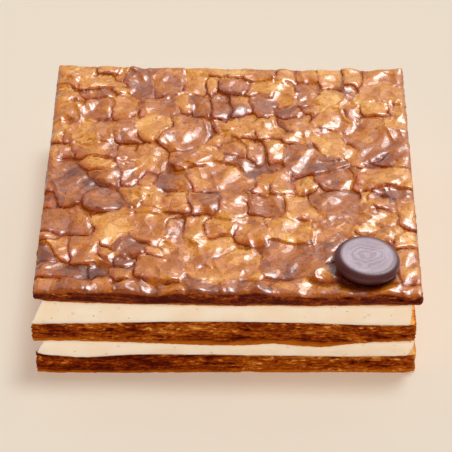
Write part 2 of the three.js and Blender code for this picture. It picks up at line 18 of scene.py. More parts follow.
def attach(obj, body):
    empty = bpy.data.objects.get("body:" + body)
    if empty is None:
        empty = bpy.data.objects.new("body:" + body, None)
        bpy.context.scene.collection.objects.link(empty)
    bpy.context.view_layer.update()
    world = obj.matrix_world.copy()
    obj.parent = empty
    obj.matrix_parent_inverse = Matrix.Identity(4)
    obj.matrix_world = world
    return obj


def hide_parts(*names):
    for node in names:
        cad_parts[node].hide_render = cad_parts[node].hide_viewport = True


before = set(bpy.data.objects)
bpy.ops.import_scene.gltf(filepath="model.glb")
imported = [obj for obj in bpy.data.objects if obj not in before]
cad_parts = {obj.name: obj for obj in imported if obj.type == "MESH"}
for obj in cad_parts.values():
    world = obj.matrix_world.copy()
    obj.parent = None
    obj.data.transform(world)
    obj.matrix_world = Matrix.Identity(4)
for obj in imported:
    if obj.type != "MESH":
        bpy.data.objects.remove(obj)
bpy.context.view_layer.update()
MM = 0.001
print("layers:", ", ".join(sorted(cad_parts)))

# %% [markdown]
# ## Unevenness that is the same every time
# Real pastry is uneven, but a script should give the same cake on each run. So small whole-number
# hashes decide everything: the same place on the lattice always gives the same number, and smooth
# noise between the places makes soft waves. The solid model uses the same functions.


# %% Scatter and smooth noise
def whole(value):
    return np.floor(np.asarray(value, float)).astype(np.int64).astype(np.uint32)


def scatter(i, j, k):
    """A number from 0 to 1 for each place (i, j) of the lattice, and layer k."""
    with np.errstate(over="ignore"):
        bits = whole(i) * np.uint32(374761393) + whole(j) * np.uint32(668265263)
        bits = bits + whole(k * 362437)
        bits = (bits ^ (bits >> np.uint32(13))) * np.uint32(1274126177)
        bits = bits ^ (bits >> np.uint32(16))
    return bits.astype(float) / 4294967296.0


def lerp(a, b, share):
    return a + (b - a) * share


def ease(t):
    return t * t * (3 - 2 * t)


def step(low, high, value):
    return ease(np.clip((value - low) / (high - low), 0, 1))


def noise(x, y, layer):
    """Smooth noise from -0.5 to 0.5. Each layer is a pattern of its own."""
    i, j = np.floor(x), np.floor(y)
    u, v = ease(x - i), ease(y - j)
    near = lerp(scatter(i, j, layer), scatter(i + 1, j, layer), u)
    far = lerp(scatter(i, j + 1, layer), scatter(i + 1, j + 1, layer), u)
    return lerp(near, far, v) - 0.5


def waves(sizes, x, y):
    """Waves of several sizes on top of each other, each (height, length, layer)."""
    return sum(height * noise(x / length, y / length, layer) for height, length, layer in sizes)


print("noise at (1.5, 2.5): %.4f" % noise(1.5, 2.5, 21))

# %% [markdown]
# ## Where the layers lie
# The sheets were laid by hand, so each one sits a little off the next and is turned by a fraction
# of a degree. Where two layers meet, both use one height function, so that cream fills every wave
# of the pastry above it. The solid model has the same driving sizes.

# %% Driving sizes of the stack, in millimetres
HALF = 80.0  # half a side of a cut sheet
CORNER_WEAR, CORNER_REACH = 0.35, 0.8  # how far a cut corner is worn back, and how far from it
TOUCH_GAP = 0.06  # left between layers that touch
SHEETS = {"bottom": (-1.05, 0.2, 0.75), "middle": (-1.3, -0.8, 0.24), "top": (1.0, -0.1, -0.29)}
GLAZE_BASE = 43.3  # height of the lowest glaze, and the flakes rise from it
# lean and nod: degrees by which the disc tips to the right and to the front.
DISC = Sizes(x=58.3, y=-62.7, middle=48.35, radius=13.65, thickness=5.8, lean=4.6, nod=1.0)


def bump(x, middle, width):
    return np.exp(-(((x - middle) / width) ** 2))


# Each meeting face: how far in it is at the left, right, front and back, how far its left side
# draws in, the layer of its waves, and its line along the front.
MEETINGS = {
    "bottom_top": Sizes(
        sheet="bottom", inset=(0.7, 3.2, 0.6, 1.4), drawn_in=4.6, level=9.8, layer=51,
        front=lambda x: 9.75 - 0.007 * x + 0.45 * bump(x, -30, 18) + 0.35 * bump(x, -5, 10)
        + 2.0 * bump(x, -82, 4.5) - 1.4 * bump(x, -58, 12)
        - 0.5 * bump(x, 50, 16) + 1.2 * bump(x, 82, 5),
    ),
    "middle_foot": Sizes(
        sheet="middle", inset=(5.5, 0.6, 0.6, 1.5), drawn_in=3.8, level=17.9, layer=52,
        front=lambda x: 17.7 + 1.2 * np.cos(2 * np.pi * (x + 66) / 150)
        + 1.3 * bump(x, 19, 8) - 1.4 * bump(x, 41, 10) + 0.5 * bump(x, 76, 14),
    ),
    "middle_top": Sizes(
        sheet="middle", inset=(0.3, 2.5, 0.6, 1.4), drawn_in=3.8, level=28.7, layer=53,
        front=lambda x: 28.1 + 1.6 * np.cos(np.pi * x / 175) ** 2 - 0.4 * bump(x, 58, 14),
    ),
    "top_foot": Sizes(
        sheet="top", inset=(4.0, 4.6, 0.6, 1.6), drawn_in=3.8, level=39.0, layer=54,
        front=lambda x: 38.2 + 0.00021 * x * x + 1.1 * bump(x, -82, 7),
    ),
}


def meeting_height(name, x, y, facing):
    """Height of a meeting face, for the layer below it (-1) or above it (+1)."""
    meeting = MEETINGS[name]
    behind = meeting.level + waves([(0.9, 23, meeting.layer)], x, y)
    return lerp(behind, meeting.front(x), step(58, 76, -y)) + facing * TOUCH_GAP / 2


print("heights where the layers meet:", [m.level for m in MEETINGS.values()])

# %% [markdown]
# ## Outlines as rings
# A cut sheet is a skin stretched over rings of points that all run round the square. With the
# same number of points on each ring, two neighbouring rings join into a band of four-sided
# faces, and a whole layer is a stack of such bands closed by a fan at each end.

# %% Rings round a square, and skins over rings
STATIONS = 1120  # points round each ring
CELLS = STATIONS // 4  # along one side
DRAWN_IN = {"bottom": 4.6, "middle": 3.8, "top": 0.0}  # how far a sheet's left side draws in
DRAW_LENGTH = 6.0  # most of it is reached within twice this length


def square_ring(push=0.0, inset=(0, 0, 0, 0), drawn_in=0.0):
    """Local x and y of the points round a sheet, anticlockwise from the front left corner."""
    along = 2 * np.arange(CELLS) / CELLS - 1
    one = np.ones(CELLS)
    x = np.concatenate([along, one, -along, -one])
    y = np.concatenate([-one, along, one, -along])
    left, right, front, back = inset
    left = left + drawn_in * (1 - np.exp(-HALF * (y + 1) / DRAW_LENGTH))
    from_corner = HALF * (1 - np.minimum(np.abs(x), np.abs(y)))
    worn = CORNER_WEAR * np.exp(-from_corner / CORNER_REACH)
    on_side, on_end = np.abs(x) == 1, np.abs(y) == 1
    reach_x = HALF - worn + push * on_side - np.where(x < 0, left, right)
    reach_y = HALF - worn + push * on_end - np.where(y < 0, front, back)
    return x * reach_x, y * reach_y


def cos_sin(degrees):
    return math.cos(math.radians(degrees)), math.sin(math.radians(degrees))


def on_sheet(sheet, x, y, z):
    """Points of a sheet, moved to where the sheet lies in the stack."""
    offset_x, offset_y, turn = SHEETS[sheet]
    c, s = cos_sin(turn)
    flat = np.broadcast_to(np.asarray(z, float), np.shape(x))
    return np.stack([offset_x + x * c - y * s, offset_y + x * s + y * c, flat], axis=-1)


def meeting_ring(name, facing):
    """The edge of a meeting face."""
    meeting = MEETINGS[name]
    x, y = square_ring(0.0, meeting.inset, meeting.drawn_in)
    return on_sheet(meeting.sheet, x, y, meeting_height(name, x, y, facing))


def meeting_hub(name, facing):
    meeting = MEETINGS[name]
    return np.array([[*SHEETS[meeting.sheet][:2], meeting.level + facing * TOUCH_GAP / 2]])


def ring_steps(start, count):
    """The points of the ring that begins at start, and the next point after each."""
    here = start + np.arange(count)
    return here, np.roll(here, -1)


def band(start, count):
    """Faces between the ring that begins at start and the next ring."""
    here, after = ring_steps(start, count)
    return np.stack([here, after, after + count, here + count], axis=1)


def fan(hub, start, count, up):
    here, after = ring_steps(start, count)
    sides = (here, after) if up else (after, here)
    return np.stack([np.full(count, hub), *sides], axis=1)


SHARP_ABOVE = 58  # degrees between two faces, from which their edge is a sharp one


def add_object(name, data):
    made = bpy.data.objects.new(name, data)
    bpy.context.scene.collection.objects.link(made)
    return made


def new_piece(name, points_mm, face_lists):
    """A smooth mesh object from points in millimetres and arrays of faces."""
    mesh = bpy.data.meshes.new(name)
    faces = [tuple(face) for faces in face_lists for face in faces.tolist()]
    mesh.from_pydata((points_mm * MM).tolist(), [], faces)
    mesh.shade_smooth()
    mesh.set_sharp_from_angle(angle=math.radians(SHARP_ABOVE))
    return add_object(name, mesh)


def paint(piece, name, *parts):
    """Stores one number for each point of a piece, for its material to read."""
    values = np.concatenate([np.ravel(part) for part in parts])
    attribute = piece.data.attributes.new(name, "FLOAT", "POINT")
    attribute.data.foreach_set("value", values.astype(np.float32))


def closed_skin(name, hub_low, rings, hub_high):
    """A closed piece over rings, the lowest first, with a hub under and one over them."""
    count = len(rings[0])
    points = np.concatenate([*rings, hub_low, hub_high])
    low, high = len(points) - 2, len(points) - 1
    faces = [band(i * count, count) for i in range(len(rings) - 1)]
    faces += [fan(low, 0, count, False), fan(high, low - count, count, True)]
    return new_piece(name, points, faces)


print("points round each ring:", STATIONS)

# %% [markdown]
# ## The pastry's cut sides
# A baked sheet is hundreds of leaves of dough. Where a knife has cut it, the leaves show as thin
# ragged lines that wave up and down, some standing out, some broken back into dark hollows.
# Over a few broad ledges, which the solid model has too, lies noise that is long along the side
# and thin upwards.

# %% Relief of the cut leaves
LEDGE = 0.55  # how far the cut layers of a sheet stand in or out
EDGE_LEDGE = 0.5  # share of that which is left at the foot and the top of a side
SMOOTH_EDGE = 0.35  # share of the leaves' relief that is left there
HOLLOW_DEPTH = 0.7  # of the places where leaves have broken off
CAD_STATIONS = 108  # the solid model's rings have this many points
COARSE = np.arange(STATIONS) * CAD_STATIONS / STATIONS
ALONG = np.arange(STATIONS) * 8 * HALF / STATIONS  # mm along a ring


def ledge_push(layer, station):
    band_push = scatter(np.array(layer), np.array(3), 61) - 0.5
    crag = noise(station / 2.3, layer * 1.7, 62) + noise(station / 6, layer * 0.9, 63)
    return LEDGE * (0.8 * band_push + crag)


def long_waves(sizes, along, across, layer):
    """Waves longer one way than the other, each (height, length along, length across)."""
    return sum(
        height * noise(along / length, across / width, layer + i)
        for i, (height, length, width) in enumerate(sizes)
    )


def leaf_relief(along, height, layer):
    """How far leaves stand out at a place along a side and a height, and how hollow it is."""
    level = height + long_waves([(0.9, 19, 6), (0.5, 6, 3)], along, height, layer)
    leaves = long_waves([(0.30, 6, 0.7), (0.26, 2.2, 0.5)], along, level, layer + 2)
    crumbs = 0.34 * noise(along / 1.1, height / 0.9, layer + 4)
    hollow = step(0.17, 0.36, noise(along / 3.6, level, layer + 5))
    hollow = hollow * step(-0.05, 0.2, noise(along / 13, height / 4, layer + 6))
    return leaves + crumbs - HOLLOW_DEPTH * hollow, hollow


def between_knots(knots, share):
    """The knot below a share, and how far the share is on the way to the next knot."""
    k = min(np.searchsorted(knots, share, side="right") - 1, len(knots) - 2)
    return k, (share - knots[k]) / (knots[k + 1] - knots[k])


def cut_side(sheet, lower, upper, shares, layer, rows, leaf_layer):
    """Rings from the foot to the top of a sheet's cut side, and how hollow each point is."""
    knots = [0.0, *shares, 1.0]
    pushes = [ledge_push(layer - 1 + i, COARSE) for i in range(len(knots))]
    pushes[0], pushes[-1] = EDGE_LEDGE * pushes[0], EDGE_LEDGE * pushes[-1]
    ragged = long_waves([(0.35, 1.3, 1), (0.3, 4.1, 1)], ALONG, 3, leaf_layer + 7)
    rings, hollows = [], []
    for row in range(rows + 1):
        share = row / rows
        k, within = between_knots(knots, share)
        push = lerp(pushes[k], pushes[k + 1], within)
        z = lerp(lower, upper, share) + ragged * abs(2 * share - 1) ** 6  # most at both edges
        leaves, hollow = leaf_relief(ALONG, z, leaf_layer)
        from_edge = min(1.0, min(share, 1 - share) * rows / 2.0)
        leaves = leaves * lerp(SMOOTH_EDGE, 1.0, from_edge)
        x, y = square_ring(push + leaves, drawn_in=DRAWN_IN[sheet])
        rings.append(on_sheet(sheet, x, y, z))
        hollows.append(hollow * from_edge)
    return rings, hollows


def edge_heights(name, layer, facing):
    """Heights of a sheet's edge where it meets a cream layer."""
    push = EDGE_LEDGE * ledge_push(layer, COARSE)
    x, y = square_ring(push, drawn_in=DRAWN_IN[MEETINGS[name].sheet])
    return meeting_height(name, x, y, facing)


print("length of one ring:", 8 * HALF, "mm")

# %% [markdown]
# ## Shader maths written as Python
# Each finish is a small network of nodes. Writing one node per line hides the idea, so a value in
# a network is wrapped in a class that knows plus, minus, times and so on: an expression such as
# `1 - wet * 0.3` adds its own Math nodes. Every other node comes from one method.


# %% A value in a node tree, and a finish that makes nodes
class Value:
    def __init__(self, look, socket):
        self.look, self.socket = look, socket

    def math(self, operation, *others, flip=False):
        terms = [*others, self] if flip else [self, *others]
        return self.look.node("ShaderNodeMath", {"operation": operation}, dict(enumerate(terms)))

    def __add__(self, other):
        return self.math("ADD", other)

    def __sub__(self, other):
        return self.math("SUBTRACT", other)

    def __rsub__(self, other):
        return self.math("SUBTRACT", other, flip=True)

    def __mul__(self, other):
        return self.math("MULTIPLY", other)

    __radd__, __rmul__ = __add__, __mul__

    def __pow__(self, other):
        return self.math("POWER", other)

    def step(self, low, high):
        """0 below low, 1 above high, smooth between."""
        inputs = {0: self, 1: low, 2: high, 3: 0.0, 4: 1.0}
        return self.look.node("ShaderNodeMapRange", {"interpolation_type": "SMOOTHSTEP"}, inputs)

    def swing(self, by):
        """Noise from 0 to 1, as a swing to either side of 0."""
        return (self - 0.5) * by


def srgb(*channels):
    """A screen colour, 0 to 255, turned into the linear light that shaders use."""
    shares = [c / 255 for c in channels]
    return tuple(s / 12.92 if s <= 0.04045 else ((s + 0.055) / 1.055) ** 2.4 for s in shares)


class Nodes:
    """A node tree, and one method that adds any node to it."""

    def __init__(self, tree):
        self.tree = tree

    def feed(self, socket, value):
        if isinstance(value, Value):
            self.tree.links.new(value.socket, socket)
        else:
            socket.default_value = value

    def node(self, kind, settings=None, inputs=None, output=0):
        made = self.tree.nodes.new(kind)
        for key, value in (settings or {}).items():
            setattr(made, key, value)
        for key, value in (inputs or {}).items():
            self.feed(made.inputs[key], value)
        return Value(self, made.outputs[output])

    def apart(self, vector):
        """The three coordinates of a vector."""
        split = self.node("ShaderNodeSeparateXYZ", {}, {0: vector}).socket.node
        return [Value(self, output) for output in split.outputs]


class Look(Nodes):
    """A finish: a material whose Principled shader takes fixed numbers and node values."""

    def __init__(self, name, **fixed):
        self.material = bpy.data.materials.new(name)
        self.material.use_nodes = True
        super().__init__(self.material.node_tree)
        self.shader = self.tree.nodes["Principled BSDF"]
        self.show(**fixed)

    def painted(self, name):
        return self.node("ShaderNodeAttribute", {"attribute_name": name}, output=2)

    def place(self, stretch=(1, 1, 1), turn=(0, 0, 0)):
        """Object coordinates in millimetres, stretched and turned."""
        where = self.node("ShaderNodeTexCoord", output=3)
        scale = tuple(s / MM for s in stretch)
        return self.node("ShaderNodeMapping", {}, {0: where, 2: turn, 3: scale})

    def clouds(self, where, scale, detail=3.0, roughness=0.55, distortion=0.0):
        inputs = {"Vector": where, "Scale": scale, "Detail": detail, "Roughness": roughness}
        return self.node("ShaderNodeTexNoise", {}, {**inputs, "Distortion": distortion})

    def cells(self, where, scale):
        return self.node("ShaderNodeTexVoronoi", {}, {"Vector": where, "Scale": scale})

    def ramp(self, value, stops):
        """Each stop is a position from 0 to 1 and a screen colour."""
        coloured = self.node("ShaderNodeValToRGB", {}, {0: value})
        elements = coloured.socket.node.color_ramp.elements
        while len(elements) < len(stops):
            elements.new(1.0)
        for element, (position, *colour) in zip(elements, stops):
            element.position, element.color = position, (*srgb(*colour), 1.0)
        return coloured

    def mix(self, share, a, b, blend="MIX"):
        """A mix of two colours, each a screen colour or a node value."""
        settings = {"data_type": "RGBA", "blend_type": blend}
        a, b = ((*srgb(*c), 1.0) if isinstance(c, tuple) else c for c in (a, b))
        return self.node("ShaderNodeMix", settings, {0: share, 6: a, 7: b}, output=2)

    def raised(self, height, depth_mm):
        """A bump from a height of 0 to 1, depth_mm deep."""
        inputs = {"Height": height, "Distance": depth_mm * MM, "Strength": 1.0}
        return self.node("ShaderNodeBump", {}, inputs)

    def show(self, **values):
        for socket, value in values.items():
            self.feed(self.shader.inputs[socket.replace("_", " ")], value)
        return self.material


print("golden crust in linear light:", [round(c, 3) for c in srgb(215, 155, 75)])

# %% [markdown]
# ## Flakes of the glazed top
# Baked under caramel, the top leaf lifts in flat blisters packed like paving, and the glaze runs
# into the creases between them. Each flake is written down as a maker would sketch it: where its
# middle is, how wide and deep it is, how far it is turned and how dark it was baked.

# %% Flakes, from the back row to the front
GOLD, AMBER, BROWN, DARK = 0.30, 0.43, 0.56, 0.72  # how dark a flake was baked
# Across, along, width, depth, bake, and for some the turn in degrees, from left to right.
SKETCH = [
    (-71, 75, 20, 10, AMBER), (-56, 77, 12, 7, GOLD), (-49, 73, 7, 13, GOLD),
    (-42, 67, 15, 23, DARK, 3), (-28, 67, 13, 21, BROWN, -4), (-15, 68, 11, 22, GOLD),
    (-5, 76, 10, 7, AMBER), (-8, 64, 7, 15, GOLD), (4, 75, 9, 8, GOLD), (2, 64, 13, 13, DARK),
    (14, 74, 13, 9, AMBER), (14, 63, 13, 11, GOLD), (25, 74, 9, 11, AMBER),
    (35, 74, 9, 12, AMBER, -12), (46, 71, 10, 15, GOLD), (56, 72, 9, 15, GOLD),
    (71, 66, 18, 28, AMBER, -10), (-75, 68, 10, 9, BROWN), (-62, 66, 19, 11, GOLD, 8),
    (-75, 57, 8, 15, AMBER, 30), (-61, 57, 14, 7, DARK), (-50, 59, 6, 5, GOLD),
    (26, 58, 8, 21, GOLD), (35, 62, 9, 9, DARK), (35, 52, 9, 11, BROWN, -10),
    (46, 56, 10, 14, GOLD), (55, 60, 8, 12, DARK), (62, 55, 10, 10, GOLD, 20),
    (-74, 47, 12, 15, AMBER), (-60, 47, 14, 16, BROWN), (-49, 47, 10, 17, AMBER),
    (-31, 48, 17, 16, BROWN), (-21, 48, 6, 17, GOLD), (-13, 49, 9, 17, DARK),
    (-4, 48, 9, 17, DARK), (5, 50, 9, 15, BROWN, 10), (15, 49, 11, 20, DARK, -10),
    (27, 44, 10, 11, DARK), (37, 46, 7, 10, GOLD, -25), (46, 41, 17, 16, GOLD, -14),
    (56, 44, 8, 13, BROWN), (66, 46, 12, 10, GOLD, 18), (76, 46, 8, 9, AMBER),
    (-77, 30, 7, 20, GOLD), (-70, 30, 9, 15, BROWN), (-63, 29, 8, 17, GOLD),
    (-56, 30, 9, 14, BROWN), (-46, 28, 12, 17, BROWN, 4), (-35, 31, 14, 20, GOLD, -15),
    (-20, 26, 20, 27, BROWN, -32), (-4, 34, 9, 8, AMBER), (-4, 25, 10, 10, GOLD),
    (6, 33, 13, 14, GOLD), (17, 33, 12, 14, GOLD), (29, 35, 14, 12, BROWN),
    (28, 25, 13, 7, AMBER, 10), (44, 22, 16, 18, GOLD), (64, 37, 10, 8, BROWN),
    (74, 36, 12, 9, GOLD), (66, 22, 26, 20, BROWN, -8), (55, 14, 9, 15, GOLD, 25),
    (73, 14, 15, 12, DARK), (-75, 16, 12, 9, BROWN, -15), (-60, 15, 20, 10, BROWN),
    (-45, 14, 10, 11, AMBER, 20), (-36, 9, 14, 20, AMBER, -12), (-14, 11, 24, 15, AMBER, 12),
    (1, 18, 11, 12, AMBER), (11, 16, 8, 15, BROWN), (20, 17, 8, 15, GOLD),
    (34, 10, 21, 21, DARK, 25), (4, 7, 16, 8, DARK, -28), (-57, 5, 11, 9, GOLD),
    (-69, -8, 20, 27, DARK, 20), (-54, -5, 15, 13, DARK), (-44, -3, 8, 16, BROWN, -8),
    (-35, -4, 6, 13, GOLD), (-25, -5, 14, 14, DARK), (-3, -4, 28, 20, AMBER, 5),
    (15, -9, 7, 14, GOLD, -15), (23, -7, 12, 14, AMBER), (33, -7, 9, 14, GOLD),
    (45, -5, 13, 13, DARK), (67, -3, 20, 14, AMBER, -8), (-78, -13, 6, 19, AMBER),
    (-53, -19, 20, 14, DARK, -8), (-43, -15, 9, 13, GOLD), (-33, -15, 11, 14, GOLD),
    (-36, -24, 12, 5, AMBER), (-23, -20, 14, 16, AMBER, 25), (-11, -20, 14, 14, DARK),
    (2, -23, 11, 15, AMBER, -22), (16, -22, 17, 14, BROWN), (31, -24, 11, 15, GOLD),
    (49, -22, 20, 26, DARK, 28), (57, -20, 6, 12, GOLD, -25), (72, -13, 16, 6, DARK, -15),
    (66, -20, 11, 11, BROWN), (66, -29, 12, 9, GOLD), (76, -26, 8, 20, AMBER),
    (-69, -33, 22, 18, BROWN, -8), (-50, -37, 16, 20, GOLD, 12), (-34, -37, 15, 22, AMBER, -6),
    (-23, -39, 9, 18, BROWN), (-14, -38, 9, 17, GOLD), (-4, -37, 11, 13, AMBER),
    (9, -38, 12, 18, AMBER), (24, -38, 18, 14, GOLD, -12), (44, -39, 17, 13, BROWN, -8),
    (57, -38, 8, 6, GOLD), (66, -43, 12, 10, AMBER), (75, -44, 9, 14, GOLD),
    (-76, -43, 10, 8, AMBER), (-77, -56, 8, 14, DARK), (-70, -51, 9, 16, GOLD, 20),
    (-60, -54, 15, 18, AMBER, 8), (-41, -50, 13, 11, DARK, -12), (-51, -55, 9, 9, GOLD, -30),
    (-29, -54, 14, 7, GOLD), (-17, -58, 10, 28, GOLD, 32), (-7, -51, 16, 19, GOLD),
    (28, -58, 27, 22, DARK), (76, -60, 9, 22, AMBER), (-69, -66, 22, 9, DARK, -6),
    (-54, -67, 9, 8, DARK), (-44, -60, 10, 6, DARK, -15), (-43, -67, 11, 9, AMBER),
    (-29, -64, 18, 17, AMBER), (3, -62, 24, 20, GOLD), (39, -67, 10, 10, AMBER, 30),
    (58, -62, 26, 22, BROWN), (-75, -76, 12, 9, AMBER), (-62, -75, 13, 10, BROWN, -20),
    (-52, -75, 9, 12, GOLD), (-40, -76, 13, 8, BROWN), (-26, -76, 15, 8, AMBER, 6),
    (-11, -76, 16, 8, DARK), (5, -76, 13, 9, BROWN), (16, -75, 7, 8, DARK),
    (27, -76, 18, 9, AMBER), (43, -77, 11, 7, AMBER), (56, -77, 13, 7, BROWN),
    (70, -77, 14, 9, AMBER),
]
FLAKES = [(*flake, 0)[:6] for flake in SKETCH]
print("flakes:", len(FLAKES))

# %% [markdown]
# ## From flakes to a surface
# A flake's outline is a rounded four-sided one with uneven sides, bent by waves so that no edge is
# straight. The reach of a flake at a point is how many millimetres the point lies inside it. The
# flake that reaches furthest gives the height, and a crease runs where the next one reaches as
# far. Each flake stands at a level of its own and leans, most of them up towards the front.

# %% Outline and reach of a flake
def flake_outline(order):
    """Direction and distance of each side, in shares of half the flake's width and depth."""
    turn = 0.35 * (scatter(order, 7, 32) - 0.5)
    sides = []
    for k in range(4):
        skew = 0.35 * (scatter(order, 7, 20 + k) - 0.5)
        distance = 0.88 + 0.26 * scatter(order, 7, 26 + k)
        sides.append(((k + skew + turn) * math.pi / 2, distance))
    return sides


def flake_reach(order, x, y):
    """How far inside a flake each point lies, in mm, and the place within it from -1 to 1."""
    fx, fy, width, depth, _, turn = FLAKES[order]
    c, s = cos_sin(turn)
    u = ((x - fx) * c + (y - fy) * s) / (width / 2)
    v = ((y - fy) * c - (x - fx) * s) / (depth / 2)
    total = 0
    for angle, distance in flake_outline(order):
        side = np.maximum(u * math.cos(angle) + v * math.sin(angle), 0) / distance
        total = total + ((side * side) ** 2) ** 2  # the eighth power rounds the corners a little
    out = np.sqrt(np.sqrt(np.sqrt(total)))
    return (1 - out) * math.sqrt(width * depth) / 2, u, v


print("first flake's sides:", *("%.2f" % distance for _, distance in flake_outline(0)))

# %% The flake over each point, and the next one beside it
OPEN_REACH, OPEN_HEIGHT, OPEN_BAKE = -1.6, 0.9, 0.7  # where no flake is, the glaze lies open
NONE_NEAR = 4.0
CUT_OFF = 76.0  # flakes that lie across this line run on to the edge, where the knife cut them
# Waves that bend the flakes' outlines, and those that carry a flake's colour past its edge.
BEND_ACROSS = [(2.6, 9, 21), (1.0, 4.1, 22), (0.4, 1.9, 48)]
BEND_ALONG = [(2.6, 9, 23), (1.0, 4.1, 24), (0.4, 1.9, 49)]
STAIN_ACROSS = [(3.2, 7, 25), (1.4, 2.6, 26)]
STAIN_ALONG = [(3.2, 7, 27), (1.4, 2.6, 28)]


def flakes_over(x, y):
    """For each point the height of its flake, how far to that flake's right and front it lies,
    the height of the flake beside it, mm from the crease between them, and the bake."""
    bent_x = np.clip(x + waves(BEND_ACROSS, x, y), -CUT_OFF, CUT_OFF)
    bent_y = np.clip(y + waves(BEND_ALONG, x, y), -CUT_OFF, CUT_OFF)
    stain_x, stain_y = bent_x + waves(STAIN_ACROSS, x, y), bent_y + waves(STAIN_ALONG, x, y)
    flat = np.zeros(x.shape)
    first = stain_first = flat + OPEN_REACH
    second = first - NONE_NEAR
    beside, bake = flat + OPEN_HEIGHT, flat + OPEN_BAKE
    best = np.stack([beside, flat, flat])
    for order, flake in enumerate(FLAKES):
        lean = -math.pi / 2 + (scatter(order, 8, 20) - 0.5) * 2.6
        rise = 1.0 + 1.2 * scatter(order, 8, 21)  # over the lowest glaze
        reach, u, v = flake_reach(order, bent_x, bent_y)
        height = rise + 0.5 * (u * math.cos(lean) + v * math.sin(lean))
        over = reach > first
        near = ~over & (reach > second)
        beside = np.where(over, best[0], np.where(near, height, beside))
        second = np.where(over, first, np.where(near, reach, second))
        away = np.hypot(u, v).clip(0.05)
        right, front = (u - 0.2 * v) / away, (-0.5 * u - 0.86 * v) / away
        best = np.where(over, [height, right, front], best)
        first = np.maximum(first, reach)
        stain, _, _ = flake_reach(order, stain_x, stain_y)
        over = stain > stain_first
        stain_first = np.maximum(stain_first, stain)
        bake = np.where(over, flake[4], bake)
    return *best, beside, (first - second) / 2, bake


middle = flakes_over(np.zeros(1), np.zeros(1))
print("flake in the middle: %.2f mm high" % middle[0][0])

# %% [markdown]
# ## Rims, creases, dents and pools
# A flake has a rounded rim that drops into the crease. Some neighbours have grown together, and
# the crease between them is shallow and wide. The leaf is dented, and the caramel has run down and
# set level in the lowest places.

# %% Height and bake of the glaze
STEP_WIDTH, STEP_WIDENED = 0.45, 3.0  # mm over which one flake's height passes into the next's
GROWN_BY = 2.6  # mm that a crease counts as farther off where two flakes have grown together
SIDE_AS_GROWN, SIDE_SHALLOWER, SIDE_PALER = 0.6, 0.65, 0.7  # soft creases along a flake's side
POOL_ROUNDING = 0.09


def dents_at(x, y):
    """Dents of the leaf, which are long towards the back right."""
    across = 0.82 * x - 0.57 * y + 4 * noise(x / 9, y / 9, 40)
    along = 0.57 * x + 0.82 * y + 4 * noise(x / 9, y / 9, 47)
    return long_waves([(1.8, 6.5, 14.0), (0.6, 3.9, 8.0)], across, along, 38)


def grown_together(x, y):
    """1 where flakes have grown together, and most of that just behind the front edge."""
    grown = step(0.0, 0.26, noise(x / 11, y / 11, 44))
    return np.maximum(grown, 0.8 * step(6.5, 2.0, y + HALF))


def darker_front_and_painted_light(x, y):
    """Darker to the front, lighter at the back, with painted sheen on the right front."""
    shade = 0.1 * step(-30, -78, y) - 0.06 * step(45, 75, y)
    # Painted sheen: the right of the front is lighter.
    shade = shade - 0.09 * step(5, 50, x) * step(30, -30, y)
    # Painted shade: the lip along the front is darker.
    return shade + 0.16 * step(5.5, 1.0, y + HALF)  # the lip along the front


def flake_field(x, y):
    """Height of the glaze, its bake, mm from a crease, painted shade on the flakes' fronts and the
    pools.
    """
    level, rightness, frontness, beside, inside, bake = flakes_over(x, y)
    grown = grown_together(x, y)
    at_side = step(0.85, 0.35, np.abs(frontness)) * step(0.25, -0.05, noise(x / 8, y / 8, 50))
    step_width = STEP_WIDTH + STEP_WIDENED * np.maximum(grown, SIDE_AS_GROWN * at_side)
    share = 1 - 0.5 * np.exp(-inside / step_width)
    inside = inside + GROWN_BY * grown
    rim_width = 1.9 + 1.0 * rightness + waves([(1.4, 6, 45)], x, y)
    rim = 1 - np.clip(inside / rim_width, 0, 1)
    rim_depth = (0.85 + 0.35 * rightness + 0.25 * frontness) * (1 - SIDE_SHALLOWER * at_side)
    dents = dents_at(x, y)
    flake = lerp(beside, level, share) + dents - rim_depth * rim * rim
    pool = 0.3 + waves([(1.4, 7, 46)], x, y)
    over_pool = flake - pool
    height = pool + (over_pool + np.sqrt(over_pool * over_pool + POOL_ROUNDING)) / 2
    height = height + waves([(0.45, 26, 31)], x, y)
    # The bake also takes the darker front, painted sheen on the right front and painted shade on
    # the lip.
    bake = bake - 0.12 * dents + darker_front_and_painted_light(x, y)
    # Painted amber shade on the front sides of the flakes, near their creases.
    front_shade = step(2.4, 0.2, inside) * step(-0.3, 0.6, frontness)
    return height, bake, inside + SIDE_PALER * at_side, front_shade, step(0.25, -0.15, over_pool)


# Folds inside the flakes: height, layer, and their direction and lengths.
FOLDS = [
    (0.65, 61, lambda x, y: ((x + 0.25 * y) / 5.4, y / 12)),
    (0.6, 65, lambda x, y: ((0.7 * x - 0.7 * y) / 5.6, (x + y) / 13)),
    (0.35, 81, lambda x, y: ((0.4 * x + 0.9 * y) / 5.0, (0.9 * x - 0.4 * y) / 9)),
]
FOLDS_MEAN = 0.4


def crests(across, along, layer):
    """Sharp folds, long in one direction, that come and go over the sheet."""
    fold = 1 - 2 * np.abs(noise(across + 0.8 * noise(along, across, layer + 1), along, layer))
    return fold * fold * step(-0.12, 0.25, noise(across / 2.1, along / 1.3, layer + 2))


def wrinkles(x, y):
    """Relief inside the flakes: sharp folds of the leaf and soft small swells."""
    folds = sum(height * crests(*way(x, y), layer) for height, layer, way in FOLDS)
    ripples = waves([(0.26, 2.6, 41), (0.08, 1.1, 42)], 0.5 * x + 0.87 * y, 0.87 * x - 0.5 * y)
    return folds - FOLDS_MEAN + ripples


probe = np.linspace(-70, 70, 41)
sample = flake_field(*np.meshgrid(probe, probe))[0]
print("relief of the flakes: %.2f to %.2f mm" % (sample.min(), sample.max()))

# %% [markdown]
# ## The disc's seat
# The disc rests on the glaze and leans a little. Under it the glaze is held just below the plane
# of the disc's foot, as in the solid model, so the two never cut into each other.

# %% Seat under the disc
SEAT_GAP = 0.1


